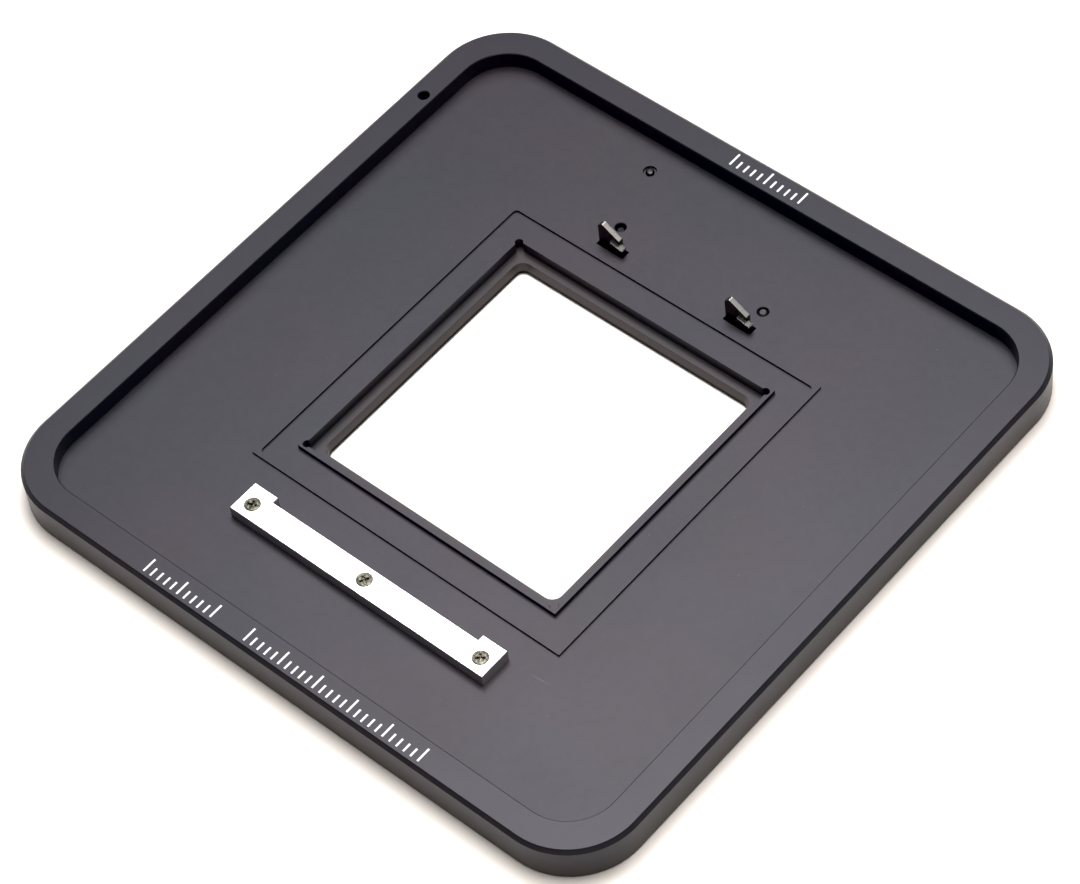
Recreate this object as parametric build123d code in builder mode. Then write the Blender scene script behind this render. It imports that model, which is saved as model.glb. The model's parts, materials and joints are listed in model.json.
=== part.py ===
from build123d import *
import os

# Adapter plate that carries an interchangeable square-format film back on a larger technical camera.
#
# Frame: origin at the centre of the plate's underside, +Z up through the plate towards the film back,
# +Y towards the catch hooks, -Y towards the support bar. All lengths are in millimetres.

os.makedirs("parts", exist_ok=True)

# ---------------------------------------------------------------- driving dimensions
# plate
plate_size = 130.0
plate_corner_radius = 13.5
plate_thickness = 7.2
top_edge_chamfer = 0.67
bottom_edge_chamfer = 0.2

# recess inside the rim
rim_width = 5.4
recess_depth = 3.5
recess_corner_radius = 9.0
rim_inner_chamfer = 0.15

# light-trap ribs on the recess floor, around the film aperture
outer_rib_size = 67.5
outer_rib_width = 0.9
outer_rib_height = 0.45
outer_rib_inner_radius = 0.8
inner_rib_size = 56.6
inner_rib_width = 0.85
inner_rib_height = 0.9

# film aperture, with a ledge inside the inner rib
ledge_depth = 1.3
corner_relief_radius = 0.75
corner_relief_inset = 0.25
aperture_size = 51.5
aperture_corner_radius = 2.0
aperture_wall_taper = 14.0
aperture_bottom_chamfer = 0.4

# light-trap groove on the underside
groove_size = 60.0
groove_width = 1.6
groove_depth = 0.8
groove_corner_radius = 4.0

# support bar that the film back stands on
bar_length = 55.4
bar_width = 5.1
bar_thickness = 2.4
bar_front_y = -45.32
bar_ear_length = 5.2
bar_ear_rise = 1.2
bar_edge_chamfer = 0.12

# countersunk screws of the support bar
bar_screw_x = (-25.05, 0.0, 25.05)
bar_screw_names = ("left", "centre", "right")
bar_screw_turns = (20.0, 62.0, 38.0)
bar_screw_y = -42.6
bar_screw_shank_radius = 0.7
bar_screw_head_radius = 1.3
bar_screw_head_edge = 0.1
bar_screw_sunk = 0.06
bar_screw_length = 5.0
bar_screw_recess = 1.7

# catch hooks: blades with a roof-shaped back, and a nose that stands out to +X and to -Y
hook_x = (-16.7, 11.3)
hook_y = 36.25
hook_names = ("left", "right")
hook_thickness = 1.0
hook_heel_height = 4.2
hook_peak = (1.0, 5.1)
hook_shoulder = (4.65, 3.0)
hook_stem_length = 3.9
nose_start = 2.4
nose_crest = (3.0, 2.4)
nose_length = 5.7
nose_tip_height = 1.75
nose_bottom = 1.2
nose_offset = 0.65
nose_width = 1.1
slot_clearance = 0.1

# flanges of the catch hooks, let into the underside
flange_x = 14.5
flange_y = 39.2
flange_length = 7.8
flange_width = 8.6
flange_thickness = 1.5
flange_corner_radius = 1.5
flange_clearance = 0.1

# countersunk screws that hold the hook flanges from below
hook_screw_x = 15.75
hook_screw_y = 40.8
hook_screw_turns = (15.0, 70.0)
hook_screw_shank_radius = 1.0
hook_screw_head_radius = 1.9
hook_screw_head_edge = 0.15
hook_screw_sunk = 0.06
hook_screw_lengths = (2.9, 3.6)
hook_screw_tip_chamfer = 0.45
hook_screw_recess = 2.3
screw_hole_break = 0.12

# shared screw details
bar_screw_tip_chamfer = 0.2
screw_mouth_margin = 0.05
recess_slot_ratio = 0.26
recess_depth_ratio = 0.38

# locating pin in the recess floor
pin_x = -19.8
pin_y = 53.7
pin_radius = 0.8
pin_seat_radius = 1.25
pin_seat_depth = 0.5
pin_hole_depth = 3.0
pin_tip_radius = 0.45
pin_projection = 0.1

# dowel hole in the rim
rim_hole_x = -61.6
rim_hole_y = 41.4
rim_hole_radius = 1.0
rim_hole_depth = 5.0
rim_hole_break = 0.15

# ---------------------------------------------------------------- derived dimensions
floor_z = plate_thickness - recess_depth
recess_size = plate_size - 2 * rim_width
ledge_z = floor_z - ledge_depth
well_size = inner_rib_size - 2 * inner_rib_width
bar_top_z = floor_z + bar_thickness
bar_screw_top_z = bar_top_z - bar_screw_sunk


def countersink_radius(head_radius, head_edge, sunk):
    """Mouth radius of a 90 degree countersink whose cone meets the head's cone."""
    return head_radius + head_edge + sunk


def countersunk_screw(label, centre, up, turn, shank_radius, head_radius, head_edge, length, tip, recess):
    """Cross-recess screw with its head's face at centre; up is +1 for a head that faces +Z, or -1."""
    cone_end = head_edge + head_radius - shank_radius
    with BuildPart() as screw:
        with BuildSketch(Plane(origin=centre, x_dir=(1, 0, 0), z_dir=(0, -up, 0))):
            with BuildLine():
                Polyline(
                    (0, 0),
                    (head_radius, 0),
                    (head_radius, -head_edge),
                    (shank_radius, -cone_end),
                    (shank_radius, tip - length),
                    (shank_radius - tip, -length),
                    (0, -length),
                    close=True,
                )
            make_face()
        revolve(axis=Axis(centre, (0, 0, 1)))
        with BuildSketch(Plane(origin=centre, x_dir=(1, 0, 0), z_dir=(0, 0, up))):
            Rectangle(recess, recess * recess_slot_ratio, rotation=turn)
            Rectangle(recess * recess_slot_ratio, recess, rotation=turn)
        extrude(amount=-recess * recess_depth_ratio, mode=Mode.SUBTRACT)
    screw.part.label = label
    return screw


# ---------------------------------------------------------------- plate body
with BuildPart() as plate_body:
    with BuildSketch():
        RectangleRounded(plate_size, plate_size, plate_corner_radius)
    extrude(amount=plate_thickness)
    chamfer(plate_body.faces().sort_by(Axis.Z)[-1].edges(), top_edge_chamfer)
    chamfer(plate_body.faces().sort_by(Axis.Z)[0].edges(), bottom_edge_chamfer)

    # recess, with its upper edge broken
    with BuildSketch(Plane.XY.offset(plate_thickness)):
        RectangleRounded(recess_size, recess_size, recess_corner_radius)
    extrude(amount=-recess_depth, mode=Mode.SUBTRACT)
    rim_face = plate_body.faces().filter_by(Axis.Z).sort_by(Axis.Z)[-1]
    chamfer(rim_face.inner_wires()[0].edges(), rim_inner_chamfer)

    # outer rib, with square outside corners
    with BuildSketch(Plane.XY.offset(floor_z)):
        Rectangle(outer_rib_size, outer_rib_size)
        outer_rib_inside = outer_rib_size - 2 * outer_rib_width
        RectangleRounded(outer_rib_inside, outer_rib_inside, outer_rib_inner_radius, mode=Mode.SUBTRACT)
    extrude(amount=outer_rib_height)

    # inner rib
    with BuildSketch(Plane.XY.offset(floor_z)):
        Rectangle(inner_rib_size, inner_rib_size)
    extrude(amount=inner_rib_height)

    # well inside the inner rib, with a round relief in each corner
    with BuildSketch(Plane.XY.offset(ledge_z)):
        Rectangle(well_size, well_size)
        with GridLocations(well_size - 2 * corner_relief_inset, well_size - 2 * corner_relief_inset, 2, 2):
            Circle(corner_relief_radius)
    extrude(amount=ledge_depth + inner_rib_height, mode=Mode.SUBTRACT)

    # film aperture, right through and narrowing downwards, with its lower edge broken
    with BuildSketch(Plane.XY.offset(ledge_z)):
        RectangleRounded(aperture_size, aperture_size, aperture_corner_radius)
    extrude(amount=-ledge_z, taper=aperture_wall_taper, mode=Mode.SUBTRACT)
    underside = plate_body.faces().filter_by(Axis.Z).sort_by(Axis.Z)[0]
    chamfer(underside.inner_wires()[0].edges(), aperture_bottom_chamfer)

    # light-trap groove on the underside
    with BuildSketch():
        RectangleRounded(groove_size + groove_width, groove_size + groove_width, groove_corner_radius)
        groove_inside = groove_size - groove_width
        groove_inside_radius = groove_corner_radius - groove_width
        RectangleRounded(groove_inside, groove_inside, groove_inside_radius, mode=Mode.SUBTRACT)
    extrude(amount=groove_depth, mode=Mode.SUBTRACT)

    # pockets for the hook flanges, and the slots that the hooks stand through
    with BuildSketch():
        with Locations((-flange_x, flange_y), (flange_x, flange_y)):
            RectangleRounded(
                flange_length + 2 * flange_clearance,
                flange_width + 2 * flange_clearance,
                flange_corner_radius + flange_clearance,
            )
    extrude(amount=flange_thickness, mode=Mode.SUBTRACT)
    slot_length = nose_length + 2 * slot_clearance
    slot_width = nose_offset + hook_thickness + 2 * slot_clearance
    slot_centre_y = hook_y + (hook_thickness - nose_offset) / 2
    with BuildSketch():
        for x in hook_x:
            with Locations((x + nose_length / 2, slot_centre_y)):
                Rectangle(slot_length, slot_width)
    extrude(amount=floor_z, mode=Mode.SUBTRACT)

    # tapped holes for the hook screws, right through to the recess floor
    with Locations(
        Location((-hook_screw_x, hook_screw_y, floor_z)),
        Location((hook_screw_x, hook_screw_y, floor_z)),
    ):
        CounterSinkHole(hook_screw_shank_radius, hook_screw_shank_radius + screw_hole_break, floor_z)

    # blind tapped holes for the support bar's screws
    bar_hole_depth = bar_screw_length + bar_screw_sunk - bar_thickness
    with Locations(*[Location((x, bar_screw_y, floor_z)) for x in bar_screw_x]):
        Hole(bar_screw_shank_radius, bar_hole_depth)

    # seat of the locating pin
    with Locations(Location((pin_x, pin_y, floor_z))):
        CounterBoreHole(pin_radius, pin_seat_radius, pin_seat_depth, pin_hole_depth)

    # blind dowel hole in the rim
    with Locations(Location((rim_hole_x, rim_hole_y, plate_thickness))):
        CounterSinkHole(rim_hole_radius, rim_hole_radius + rim_hole_break, rim_hole_depth)
plate_body.part.label = "plate_body"

# ---------------------------------------------------------------- support bar
with BuildPart() as support_bar:
    bar_back_y = bar_front_y + bar_width
    bar_centre_y = bar_front_y + bar_width / 2
    ear_x = (bar_length - bar_ear_length) / 2
    with BuildSketch(Plane.XY.offset(floor_z)):
        with Locations((0, bar_centre_y)):
            Rectangle(bar_length, bar_width)
        with Locations((-ear_x, bar_back_y + bar_ear_rise / 2), (ear_x, bar_back_y + bar_ear_rise / 2)):
            Rectangle(bar_ear_length, bar_ear_rise)
    extrude(amount=bar_thickness)
    chamfer(support_bar.faces().sort_by(Axis.Z)[-1].edges(), bar_edge_chamfer)
    with Locations(*[Location((x, bar_screw_y, bar_top_z)) for x in bar_screw_x]):
        CounterSinkHole(
            bar_screw_shank_radius + screw_mouth_margin,
            countersink_radius(bar_screw_head_radius, bar_screw_head_edge, bar_screw_sunk),
            bar_thickness,
            90,
        )
support_bar.part.label = "support_bar"

# ---------------------------------------------------------------- support bar screws
bar_screws = [
    countersunk_screw(
        f"support_bar_screw_{name}",
        (x, bar_screw_y, bar_screw_top_z),
        1,
        turn,
        bar_screw_shank_radius,
        bar_screw_head_radius,
        bar_screw_head_edge,
        bar_screw_length,
        bar_screw_tip_chamfer,
        bar_screw_recess,
    )
    for name, x, turn in zip(bar_screw_names, bar_screw_x, bar_screw_turns)
]


# ---------------------------------------------------------------- catch hooks
def catch_hook(label, x, side):
    """One hook: a blade with an undercut nose, on a flange that fills its pocket."""
    with BuildPart() as hook:
        # flange in the underside of the plate
        with BuildSketch():
            with Locations((side * flange_x, flange_y)):
                RectangleRounded(flange_length, flange_width, flange_corner_radius)
        extrude(amount=flange_thickness)

        # blade in the XZ plane, its outline measured from the recess floor
        with BuildSketch(Plane(origin=(x, hook_y, floor_z), x_dir=(1, 0, 0), z_dir=(0, -1, 0))):
            with BuildLine():
                Polyline(
                    (0, flange_thickness - floor_z),
                    (0, hook_heel_height),
                    hook_peak,
                    hook_shoulder,
                    (hook_shoulder[0], nose_bottom),
                    (hook_stem_length, nose_bottom),
                    (hook_stem_length, flange_thickness - floor_z),
                    close=True,
                )
            make_face()
        extrude(amount=-hook_thickness)

        # nose, which stands out beside the blade and past its end
        nose_y = hook_y - nose_offset
        with BuildSketch(Plane(origin=(x, nose_y, floor_z), x_dir=(1, 0, 0), z_dir=(0, -1, 0))):
            with BuildLine():
                Polyline(
                    (nose_start, nose_bottom),
                    nose_crest,
                    (nose_length, nose_tip_height),
                    (nose_length, nose_bottom),
                    close=True,
                )
            make_face()
        extrude(amount=-nose_width)

        # countersunk hole for the screw from below
        with Locations(Location((side * hook_screw_x, hook_screw_y, 0), (180, 0, 0))):
            CounterSinkHole(
                hook_screw_shank_radius + screw_mouth_margin,
                countersink_radius(hook_screw_head_radius, hook_screw_head_edge, hook_screw_sunk),
                flange_thickness,
                90,
            )
    hook.part.label = label
    return hook


catch_hooks = [
    catch_hook(f"catch_hook_{name}", x, side)
    for name, x, side in zip(hook_names, hook_x, (-1, 1))
]

# ---------------------------------------------------------------- hook screws
hook_screws = [
    countersunk_screw(
        f"hook_screw_{name}",
        (side * hook_screw_x, hook_screw_y, hook_screw_sunk),
        -1,
        turn,
        hook_screw_shank_radius,
        hook_screw_head_radius,
        hook_screw_head_edge,
        length,
        hook_screw_tip_chamfer,
        hook_screw_recess,
    )
    for name, side, turn, length in zip(hook_names, (-1, 1), hook_screw_turns, hook_screw_lengths)
]

# ---------------------------------------------------------------- locating pin
with BuildPart() as locating_pin:
    with BuildSketch(Plane.XY.offset(floor_z - pin_hole_depth)):
        with Locations((pin_x, pin_y)):
            Circle(pin_radius)
    extrude(amount=pin_hole_depth + pin_projection)
    fillet(locating_pin.faces().sort_by(Axis.Z)[-1].edges(), pin_tip_radius)
locating_pin.part.label = "locating_pin"

# ---------------------------------------------------------------- export
pieces = [plate_body, support_bar, *bar_screws, *catch_hooks, *hook_screws, locating_pin]
for piece in pieces:
    export_step(piece.part, f"parts/{piece.part.label}.step")
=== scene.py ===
import json
import math

import bmesh
import bpy
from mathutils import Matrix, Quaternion, Vector


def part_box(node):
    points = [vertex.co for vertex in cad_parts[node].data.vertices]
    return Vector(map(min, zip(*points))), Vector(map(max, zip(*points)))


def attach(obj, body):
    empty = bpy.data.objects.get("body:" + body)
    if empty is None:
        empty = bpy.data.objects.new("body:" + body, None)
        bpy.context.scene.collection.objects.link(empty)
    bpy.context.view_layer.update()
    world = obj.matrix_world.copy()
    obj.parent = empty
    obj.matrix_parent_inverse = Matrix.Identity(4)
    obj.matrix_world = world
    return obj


# Looks of the film back adapter plate. Metres, in the CAD model's own frame: +Z up, +Y towards the catch
# hooks, -Y towards the support bar, origin at the centre of the plate's underside.

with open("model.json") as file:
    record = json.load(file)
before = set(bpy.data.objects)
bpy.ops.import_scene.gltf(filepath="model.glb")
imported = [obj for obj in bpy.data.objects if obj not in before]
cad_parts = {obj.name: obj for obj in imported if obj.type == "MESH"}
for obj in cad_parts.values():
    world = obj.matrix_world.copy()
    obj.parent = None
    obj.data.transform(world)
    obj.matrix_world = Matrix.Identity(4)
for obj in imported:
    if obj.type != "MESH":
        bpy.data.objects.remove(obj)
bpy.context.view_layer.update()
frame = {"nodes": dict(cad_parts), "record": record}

MM = 0.001

# ---------------------------------------------------------------- places read from the frame
plate_low, plate_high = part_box("plate_body")
bar_low, bar_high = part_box("support_bar")
rim_top = plate_high.z
floor_top = bar_low.z

# ---------------------------------------------------------------- view and light
CAMERA_AZIMUTH = 47.09
CAMERA_ELEVATION = 52.59
CAMERA_ROLL = -8.16
CAMERA_DISTANCE = 0.6421
CAMERA_AIM = (3.36 * MM, -3.00 * MM)
CAMERA_LENS = 128.85
CAMERA_SENSOR = 36.0
SOFTBOXES = (
    # name, azimuth, elevation, distance, size, watts, colour
    ("main_softbox", 203, 78, 0.8, 0.53, 10.0, (1.01, 0.98, 0.97)),
    ("back_softbox", 225, 60, 1.2, 0.80, 5.2, (0.92, 0.97, 1.08)),
    ("front_softbox", 47, 60, 1.2, 0.80, 3.2, (1.00, 0.99, 0.98)),
    ("right_softbox", 120, 50, 1.2, 0.80, 1.0, (1.00, 1.00, 1.00)),
)
AMBIENT = 0.004
BACKDROP = 0.75
FLOOR_COLOUR = (0.90, 0.855, 0.80, 1.0)
FLOOR_REACH = 1.8
FLOOR_GAP = 0.05 * MM

# ---------------------------------------------------------------- wear of the anodised plate, and where its painted foot shade reaches
APERTURE_REACH = 40 * MM
DUST_PITCH = 4.5 * MM
DUST_SIZE = 0.081 * MM
SCRATCH_PLACE = (34.2 * MM, -38.9 * MM, floor_top)
SCRATCH_TURN = 4
SCRATCH_HALF_SIZE = (2.4 * MM, 0.22 * MM, 1.0 * MM)

# ---------------------------------------------------------------- scales printed on the rim
RIM_WIDTH = 5.4 * MM
MARK_HEIGHT = 2.8 * MM
MARK_SHORT = 0.6
MARK_STROKE = 0.36 * MM
MARK_PITCH = 1.5 * MM
MARK_FILM = 0.02 * MM
MARK_LIFT = 0.002 * MM
MARK_LONG_EVERY = 5
RIM_SCALES = (
    # name, which side of the plate, first mark, last mark
    ("rim_scale_hook_side", 1, -7.5 * MM, 7.5 * MM),
    ("rim_scale_bar_side_short", -1, -29.5 * MM, -14.5 * MM),
    ("rim_scale_bar_side_long", -1, -7.0 * MM, 30.5 * MM),
)


def direction(azimuth, elevation):
    """Unit vector from the object towards a viewer or lamp; azimuth 0 is at -Y, 90 at +X, in degrees."""
    a, e = math.radians(azimuth), math.radians(elevation)
    return Vector((math.sin(a) * math.cos(e), -math.cos(a) * math.cos(e), math.sin(e)))


# ---------------------------------------------------------------- node helpers
class Shading:
    """A material's node tree, with short calls for the nodes used here."""

    def __init__(self, name):
        self.material = bpy.data.materials.new(name)
        self.material.use_nodes = True
        self.tree = self.material.node_tree
        self.shader = self.tree.nodes["Principled BSDF"]
        self.place = self.tree.nodes.new("ShaderNodeTexCoord").outputs["Object"]

    def link(self, value, socket):
        if isinstance(value, bpy.types.NodeSocket):
            self.tree.links.new(value, socket)
        else:
            socket.default_value = value

    def set(self, **values):
        """Shader sockets by name, with _ for a space, each a number, a colour or a node's output."""
        for name, value in values.items():
            self.link(value, self.shader.inputs[name.replace("_", " ")])

    def stretched(self, scale, rotation=0.0):
        """Object coordinates times scale, turned about Z."""
        node = self.tree.nodes.new("ShaderNodeMapping")
        self.link(self.place, node.inputs["Vector"])
        node.inputs["Scale"].default_value = scale
        node.inputs["Rotation"].default_value = (0, 0, rotation)
        return node.outputs["Vector"]

    def up(self, vector):
        """A vector's Z."""
        node = self.tree.nodes.new("ShaderNodeSeparateXYZ")
        self.link(vector, node.inputs["Vector"])
        return node.outputs["Z"]

    def height(self):
        """Object Z, in metres."""
        return self.up(self.place)

    def length(self, vector):
        node = self.tree.nodes.new("ShaderNodeVectorMath")
        node.operation = "LENGTH"
        self.link(vector, node.inputs[0])
        return node.outputs["Value"]

    def face_normal(self):
        return self.tree.nodes.new("ShaderNodeNewGeometry").outputs["Normal"]

    def noise(self, size, detail=2.0, roughness=0.5, vector=None):
        """Noise from 0 to 1 with features of that size in metres."""
        node = self.tree.nodes.new("ShaderNodeTexNoise")
        self.link(vector or self.place, node.inputs["Vector"])
        node.inputs["Scale"].default_value = 1 / size
        node.inputs["Detail"].default_value = detail
        node.inputs["Roughness"].default_value = roughness
        return node.outputs["Fac"]

    def math(self, operation, a, b):
        node = self.tree.nodes.new("ShaderNodeMath")
        node.operation = operation
        self.link(a, node.inputs[0])
        self.link(b, node.inputs[1])
        return node.outputs[0]

    def ramp(self, value, low, high, to_low=0.0, to_high=1.0):
        """value's range low to high, stretched to to_low to to_high and clamped."""
        node = self.tree.nodes.new("ShaderNodeMapRange")
        self.link(value, node.inputs["Value"])
        node.inputs["From Min"].default_value = low
        node.inputs["From Max"].default_value = high
        node.inputs["To Min"].default_value = to_low
        node.inputs["To Max"].default_value = to_high
        return node.outputs["Result"]

    def mix(self, share, a, b, blend="MIX"):
        node = self.tree.nodes.new("ShaderNodeMix")
        node.data_type = "RGBA"
        node.blend_type = blend
        self.link(share, node.inputs["Factor"])
        self.link(a, node.inputs["A"])
        self.link(b, node.inputs["B"])
        return node.outputs["Result"]

    def bump(self, height, depth, normal=None):
        """Normal from a 0 to 1 height over depth metres."""
        node = self.tree.nodes.new("ShaderNodeBump")
        node.inputs["Distance"].default_value = depth
        self.link(height, node.inputs["Height"])
        if normal is not None:
            self.link(normal, node.inputs["Normal"])
        return node.outputs["Normal"]

    def soft_edges(self, radius):
        """Normal that rounds the mesh's edges by radius metres."""
        node = self.tree.nodes.new("ShaderNodeBevel")
        node.samples = 4
        node.inputs["Radius"].default_value = radius
        return node.outputs["Normal"]

    def edge_mask(self, radius):
        """1 along convex edges, 0 on flats."""
        rounded = self.tree.nodes.new("ShaderNodeBevel")
        rounded.samples = 6
        rounded.inputs["Radius"].default_value = radius
        dot = self.tree.nodes.new("ShaderNodeVectorMath")
        dot.operation = "DOT_PRODUCT"
        self.link(rounded.outputs["Normal"], dot.inputs[0])
        self.link(self.face_normal(), dot.inputs[1])
        return self.ramp(dot.outputs["Value"], 0.995, 0.88)


def rgb(red, green, blue):
    return (red, green, blue, 1.0)


# ---------------------------------------------------------------- materials
def black_anodised():
    """Bead-blasted and black anodised aluminium: a fine satin grain with faint blue and plum clouds."""
    s = Shading("black_anodised")
    clouds = s.noise(22 * MM, detail=3)
    tint = s.noise(35 * MM, detail=1, vector=s.stretched((1, 1, 1), 0.6))
    grain = s.noise(0.16 * MM, detail=2, roughness=0.6)
    mottle = s.noise(1.6 * MM, detail=3, roughness=0.6)
    colour = s.mix(s.ramp(tint, 0.38, 0.62), rgb(0.0100, 0.0118, 0.0150), rgb(0.0158, 0.0118, 0.0140))
    colour = s.mix(s.ramp(clouds, 0.3, 0.7, 0.0, 0.5), colour, rgb(0.0150, 0.0145, 0.0160))
    colour = s.mix(1.0, colour, s.ramp(grain, 0.25, 0.75, 0.70, 1.30), "MULTIPLY")
    colour = s.mix(1.0, colour, s.ramp(mottle, 0.3, 0.7, 0.85, 1.15), "MULTIPLY")

    # painted reflection: a little paler and warmer towards the underside, standing in for the warm light
    # the floor bounces onto the lower walls
    low = s.ramp(s.height(), 0.5 * MM, 3.2 * MM, 1.0, 0.0)
    colour = s.mix(s.math("MULTIPLY", low, 0.5), colour, rgb(0.056, 0.042, 0.024))

    # painted shade: black along the foot of the aperture's walls, standing in for the contact shadow there;
    # the same mask makes the band metallic, so it stays dark
    painted_foot_shade = s.ramp(s.height(), 0.65 * MM, 0.95 * MM, 1.0, 0.0)
    painted_foot_shade = s.math("MULTIPLY", painted_foot_shade, s.math("LESS_THAN", s.length(s.place), APERTURE_REACH))
    colour = s.mix(painted_foot_shade, colour, rgb(0.004, 0.004, 0.004))

    # a little dust
    dust = s.tree.nodes.new("ShaderNodeTexVoronoi")
    s.link(s.place, dust.inputs["Vector"])
    dust.inputs["Scale"].default_value = 1 / DUST_PITCH
    speck = s.math("LESS_THAN", dust.outputs["Distance"], DUST_SIZE / DUST_PITCH)
    colour = s.mix(s.math("MULTIPLY", speck, 0.35), colour, rgb(0.25, 0.24, 0.23))

    # a light scratch beside the bar's right end
    scratch = s.tree.nodes.new("ShaderNodeMapping")
    scratch.vector_type = "TEXTURE"
    s.link(s.place, scratch.inputs["Vector"])
    scratch.inputs["Location"].default_value = SCRATCH_PLACE
    scratch.inputs["Rotation"].default_value = (0, 0, math.radians(SCRATCH_TURN))
    scratch.inputs["Scale"].default_value = SCRATCH_HALF_SIZE
    fading = s.ramp(s.length(scratch.outputs["Vector"]), 0.3, 1.0, 0.4, 0.0)
    mark = s.math("MULTIPLY", fading, s.ramp(grain, 0.3, 0.55))
    colour = s.mix(mark, colour, rgb(0.09, 0.08, 0.075))

    # the rim's top is milled darker and smoother than the recess
    on_rim = s.ramp(s.height(), rim_top - 0.3 * MM, rim_top - 0.1 * MM)
    colour = s.mix(s.math("MULTIPLY", on_rim, 0.5), colour, rgb(0.0040, 0.0045, 0.0060))
    roughness = s.ramp(clouds, 0.3, 0.7, 0.40, 0.44)
    roughness = s.math("ADD", roughness, s.ramp(grain, 0.25, 0.75, -0.04, 0.04))
    roughness = s.math("SUBTRACT", roughness, s.math("MULTIPLY", on_rim, 0.02))
    normal = s.bump(grain, 0.008 * MM, normal=s.soft_edges(0.05 * MM))
    s.set(Base_Color=colour, Metallic=painted_foot_shade, Roughness=roughness, Normal=normal)
    s.shader.inputs["IOR"].default_value = 1.39
    s.shader.inputs["Specular Tint"].default_value = rgb(0.97, 0.92, 1.0)
    return s.material


def bare_aluminium():
    """Milled aluminium: bright, with fine cutter lines along the bar."""
    s = Shading("bare_aluminium")
    lines = s.noise(0.09 * MM, detail=3, roughness=0.65, vector=s.stretched((0.03, 1, 1)))
    clouds = s.noise(3 * MM, detail=3)
    colour = s.mix(s.ramp(clouds, 0.3, 0.7), rgb(0.88, 0.88, 0.885), rgb(0.93, 0.93, 0.93))
    colour = s.mix(1.0, colour, s.ramp(lines, 0.3, 0.7, 0.94, 1.0), "MULTIPLY")
    roughness = s.math("ADD", s.ramp(clouds, 0.3, 0.7, 0.34, 0.42), s.ramp(lines, 0.3, 0.7, -0.05, 0.05))
    normal = s.bump(lines, 0.004 * MM, normal=s.soft_edges(0.06 * MM))
    s.set(Base_Color=colour, Roughness=roughness, Normal=normal)
    s.shader.inputs["Metallic"].default_value = 1.0
    return s.material


def hook_steel():
    """Spring steel with blackened, brown-stained sides and ground bright upper faces; upward faces low
    down, such as the ledge, are painted dark as the shade the blade casts on them.
    """
    s = Shading("hook_steel")
    scratches = s.noise(0.05 * MM, detail=3, roughness=0.6, vector=s.stretched((0.08, 1, 1)))
    stain = s.noise(0.9 * MM, detail=3)
    upward = s.ramp(s.up(s.face_normal()), 0.35, 0.6)
    # painted shade: upward faces below the blade's top, such as the ledge, stay dark as if in the blade's
    # shadow; above this height they are ground bright
    above_ledge_shade = s.ramp(s.height(), floor_top + 2.45 * MM, floor_top + 2.9 * MM)
    ground = s.math("MULTIPLY", upward, above_ledge_shade)
    black = s.mix(s.ramp(stain, 0.35, 0.7), rgb(0.200, 0.175, 0.155), rgb(0.110, 0.085, 0.070))
    # painted shade: upward faces take a dark grey here, which remains only where the ground bright top
    # doesn't cover them
    black = s.mix(upward, black, rgb(0.045, 0.043, 0.041))
    bright = s.mix(s.ramp(stain, 0.35, 0.7), rgb(0.60, 0.58, 0.56), rgb(0.50, 0.47, 0.44))
    colour = s.mix(ground, black, bright)
    colour = s.mix(1.0, colour, s.ramp(scratches, 0.3, 0.7, 0.85, 1.0), "MULTIPLY")
    worn = s.math("MULTIPLY", s.edge_mask(0.16 * MM), upward)
    colour = s.mix(s.math("MULTIPLY", worn, 0.3), colour, rgb(0.45, 0.43, 0.40))
    roughness = s.math("ADD", s.ramp(stain, 0.3, 0.7, 0.26, 0.34), s.ramp(scratches, 0.3, 0.7, -0.05, 0.06))
    normal = s.bump(scratches, 0.004 * MM, normal=s.soft_edges(0.25 * MM))
    s.set(Base_Color=colour, Roughness=roughness, Normal=normal)
    s.shader.inputs["Metallic"].default_value = 1.0
    return s.material


def plated_screw():
    """Dull olive plating, darker in patches and rubbed paler at the edges."""
    s = Shading("plated_screw")
    stain = s.noise(0.5 * MM, detail=3)
    edges = s.edge_mask(0.06 * MM)
    colour = s.mix(s.ramp(stain, 0.4, 0.6), rgb(0.140, 0.133, 0.098), rgb(0.075, 0.070, 0.052))
    colour = s.mix(s.math("MULTIPLY", edges, 0.5), colour, rgb(0.20, 0.19, 0.15))
    roughness = s.ramp(stain, 0.3, 0.7, 0.26, 0.34)
    normal = s.bump(s.noise(0.06 * MM), 0.003 * MM, normal=s.soft_edges(0.55 * MM))
    s.set(Base_Color=colour, Roughness=roughness, Normal=normal)
    s.shader.inputs["Metallic"].default_value = 1.0
    return s.material


def black_screw():
    """Blackened steel screw, with painted shade that darkens it the deeper it sits in its hole."""
    s = Shading("black_screw")
    stain = s.noise(0.5 * MM, detail=3)
    edges = s.edge_mask(0.06 * MM)
    # painted shade: the colour falls to a fifth as the screw sits deeper below the floor
    painted_depth_shade = s.ramp(s.height(), floor_top - 0.6 * MM, floor_top - 0.1 * MM, 0.2, 1.0)
    colour = s.mix(s.ramp(stain, 0.35, 0.65), rgb(0.030, 0.031, 0.032), rgb(0.045, 0.043, 0.041))
    colour = s.mix(s.math("MULTIPLY", edges, 0.3), colour, rgb(0.12, 0.115, 0.11))
    colour = s.mix(1.0, colour, painted_depth_shade, "MULTIPLY")
    normal = s.bump(s.noise(0.06 * MM), 0.003 * MM, normal=s.soft_edges(0.05 * MM))
    s.set(Base_Color=colour, Roughness=s.ramp(stain, 0.3, 0.7, 0.36, 0.50), Normal=normal)
    s.shader.inputs["Metallic"].default_value = 0.8
    return s.material


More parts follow.
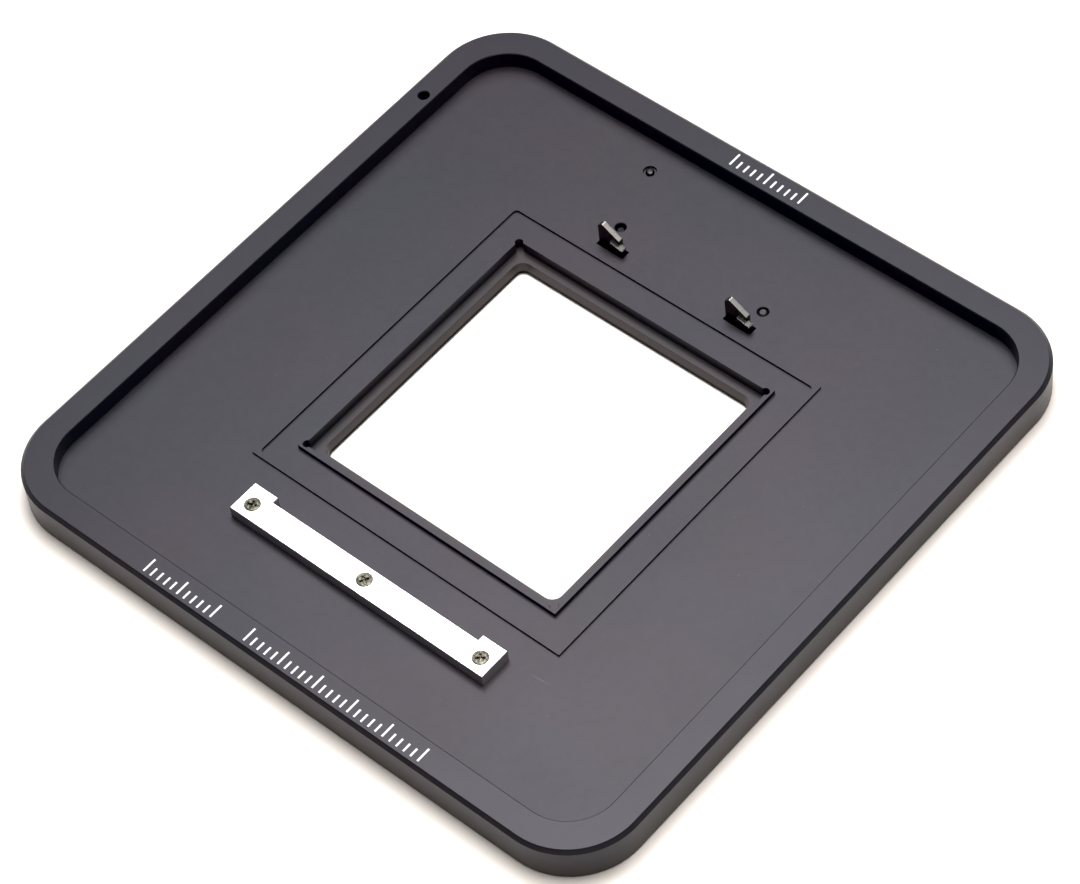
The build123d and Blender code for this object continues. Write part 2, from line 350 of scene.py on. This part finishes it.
def marking_paint():
    """Screen-printed white ink, a little uneven."""
    s = Shading("marking_paint")
    thin = s.noise(0.25 * MM, detail=3, roughness=0.6)
    colour = s.mix(s.ramp(thin, 0.35, 0.6), rgb(0.62, 0.63, 0.64), rgb(0.84, 0.84, 0.83))
    normal = s.bump(s.noise(0.08 * MM), 0.004 * MM)
    s.set(Base_Color=colour, Roughness=s.ramp(thin, 0.3, 0.7, 0.5, 0.65), Normal=normal)
    return s.material


finishes = {
    "black_anodised": black_anodised(),
    "bare_aluminium": bare_aluminium(),
    "hook_steel": hook_steel(),
    "plated_screw": plated_screw(),
    "black_screw": black_screw(),
    "marking_paint": marking_paint(),
}
for subpart in frame["record"]["subparts"]:
    node = frame["nodes"][subpart["node"]]
    node.data.materials.clear()
    node.data.materials.append(finishes[subpart["material_slot"]])


# ---------------------------------------------------------------- rim scales
def rim_scale(name, side, first, last):
    """A row of thin printed index marks across the rim, every fifth one long."""
    mesh = bpy.data.meshes.new(name)
    shape = bmesh.new()
    rim_y = side * (plate_high.y - RIM_WIDTH / 2)
    count = round((last - first) / MARK_PITCH) + 1
    for step in range(count):
        x = first + step * MARK_PITCH
        height = MARK_HEIGHT if step % MARK_LONG_EVERY == 0 else MARK_HEIGHT * MARK_SHORT
        low_y = rim_y - MARK_HEIGHT / 2
        corners = [
            shape.verts.new((x + dx * MARK_STROKE / 2, low_y + dy * height, rim_top + MARK_LIFT))
            for dx, dy in ((-1, 0), (1, 0), (1, 1), (-1, 1))
        ]
        face = shape.faces.new(corners)
        raised = bmesh.ops.extrude_face_region(shape, geom=[face])
        lifted = [v for v in raised["geom"] if isinstance(v, bmesh.types.BMVert)]
        bmesh.ops.translate(shape, vec=(0, 0, MARK_FILM), verts=lifted)
    bmesh.ops.recalc_face_normals(shape, faces=shape.faces)
    shape.to_mesh(mesh)
    shape.free()
    scale = bpy.data.objects.new(name, mesh)
    bpy.context.scene.collection.objects.link(scale)
    mesh.materials.append(finishes["marking_paint"])
    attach(scale, "root")


for name, side, first, last in RIM_SCALES:
    rim_scale(name, side, first, last)


# ---------------------------------------------------------------- floor, lights, camera
def pale_floor():
    s = Shading("pale_floor")
    s.set(Base_Color=FLOOR_COLOUR, Roughness=0.9)
    s.shader.inputs["Specular IOR Level"].default_value = 0.2
    mesh = bpy.data.meshes.new("floor")
    corners = [
        (x * FLOOR_REACH, y * FLOOR_REACH, 0)
        for x, y in ((-1, -1), (1, -1), (1, 1), (-1, 1))
    ]
    mesh.from_pydata(corners, [], [(0, 1, 2, 3)])
    floor = bpy.data.objects.new("floor", mesh)
    floor.location = (0, 0, -FLOOR_GAP)
    mesh.materials.append(s.material)
    bpy.context.scene.collection.objects.link(floor)


def softbox(name, azimuth, elevation, distance, size, watts, colour):
    lamp = bpy.data.lights.new(name, "AREA")
    lamp.shape = "SQUARE"
    lamp.size = size
    lamp.energy = watts
    lamp.color = colour
    holder = bpy.data.objects.new(name, lamp)
    towards = direction(azimuth, elevation)
    holder.location = towards * distance
    holder.rotation_mode = "QUATERNION"
    holder.rotation_quaternion = towards.to_track_quat("Z", "Y")
    bpy.context.scene.collection.objects.link(holder)


def studio_world():
    """A faint ambient light. The lens sees it as a pale backdrop, which adds no light to the object."""
    world = bpy.data.worlds.new("studio")
    world.use_nodes = True
    tree = world.node_tree
    seen = tree.nodes.new("ShaderNodeMapRange")
    seen.inputs["To Min"].default_value = AMBIENT
    seen.inputs["To Max"].default_value = BACKDROP
    tree.links.new(tree.nodes.new("ShaderNodeLightPath").outputs["Is Camera Ray"], seen.inputs["Value"])
    background = tree.nodes["Background"]
    background.inputs["Color"].default_value = rgb(1.0, 1.0, 1.0)
    tree.links.new(seen.outputs["Result"], background.inputs["Strength"])
    bpy.context.scene.world = world


def photo_camera():
    lens = bpy.data.cameras.new("camera")
    lens.lens = CAMERA_LENS
    lens.sensor_width = CAMERA_SENSOR
    lens.clip_start = 0.05
    lens.clip_end = 20
    camera = bpy.data.objects.new("camera", lens)
    back = direction(CAMERA_AZIMUTH, CAMERA_ELEVATION)
    camera.location = Vector((*CAMERA_AIM, floor_top)) + back * CAMERA_DISTANCE
    camera.rotation_mode = "QUATERNION"
    roll = Quaternion((0, 0, 1), math.radians(CAMERA_ROLL))
    camera.rotation_quaternion = (-back).to_track_quat("-Z", "Y") @ roll
    bpy.context.scene.collection.objects.link(camera)
    bpy.context.scene.camera = camera


pale_floor()
for setting in SOFTBOXES:
    softbox(*setting)
studio_world()
photo_camera()

colours = bpy.context.scene.view_settings
colours.view_transform = "Standard"
colours.use_curve_mapping = True
colours.curve_mapping.black_level = (0.004, 0.004, 0.0025)
colours.curve_mapping.update()
